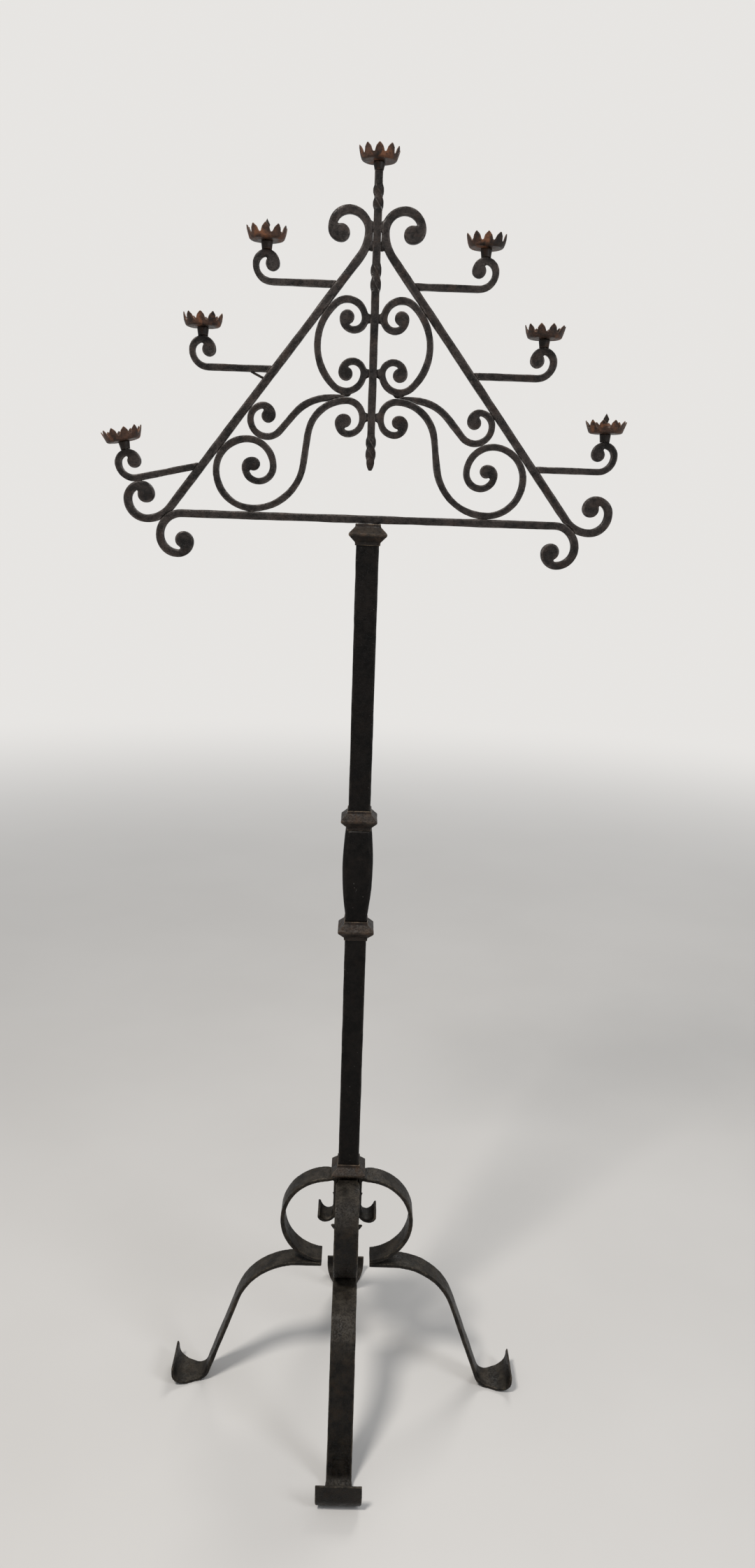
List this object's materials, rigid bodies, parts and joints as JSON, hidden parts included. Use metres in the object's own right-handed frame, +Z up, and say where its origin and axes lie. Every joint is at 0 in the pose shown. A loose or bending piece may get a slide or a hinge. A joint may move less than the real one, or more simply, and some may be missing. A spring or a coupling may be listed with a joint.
{
  "type": "votive candle rack",
  "caption": "Wrought-iron candle rack: a square post on arched legs with ring scrolls carries a flat scrolled triangle whose side arms and tip hold petalled candle cups.",
  "frame": {"origin": "on the floor, under the post's axis; the bounding box's middle is about 10 mm to the left of it because the lowest left arm has sagged", "axes": "+Z up, +X to the right of the flat triangle as the front leg points at the viewer, +Y to the back; the triangle lies in the XZ plane"},
  "size_m": [0.6759, 0.5211, 1.746],
  "materials": {
    "frame_iron": "forged iron under worn dark paint, dull",
    "post_iron": "near-black paint, dull sheen",
    "collar_iron": "brownish worn iron, dull",
    "base_iron": "dark grey-brown forged iron with lighter worn edges",
    "stem_iron": "dark brown iron, dull",
    "cup_sheet": "rust-brown sheet, dull"
  },
  "bodies": {
    "root": {"base_scroll_front": "base_iron", "base_scroll_right": "base_iron", "base_scroll_back": "base_iron", "base_scroll_left": "base_iron", "leg_front": "base_iron", "leg_right": "base_iron", "leg_back": "base_iron", "leg_left": "base_iron", "base_collar": "collar_iron", "lower_post": "post_iron", "lower_mid_collar": "collar_iron", "baluster": "post_iron", "upper_mid_collar": "collar_iron", "upper_post": "post_iron", "top_collar": "collar_iron", "base_bar": "frame_iron", "rail_left": "frame_iron", "rail_right": "frame_iron", "centre_rod": "frame_iron", "c_scroll_left": "frame_iron", "c_scroll_right": "frame_iron", "big_scroll_left": "frame_iron", "big_scroll_right": "frame_iron", "small_scroll_left": "frame_iron", "small_scroll_right": "frame_iron", "arm_lower_left": "frame_iron", "arm_middle_left": "frame_iron", "arm_upper_left": "frame_iron", "arm_lower_right": "frame_iron", "arm_middle_right": "frame_iron", "arm_upper_right": "frame_iron", "stem_lower_left": "stem_iron", "stem_middle_left": "stem_iron", "stem_upper_left": "stem_iron", "stem_lower_right": "stem_iron", "stem_middle_right": "stem_iron", "stem_upper_right": "stem_iron", "stem_top": "stem_iron", "cup_lower_left": "cup_sheet", "cup_middle_left": "cup_sheet", "cup_upper_left": "cup_sheet", "cup_lower_right": "cup_sheet", "cup_middle_right": "cup_sheet", "cup_upper_right": "cup_sheet", "cup_top": "cup_sheet", "spike_upper_left": "stem_iron", "spike_lower_right": "stem_iron", "arm_brace": "stem_iron"}
  },
  "joints": []
}
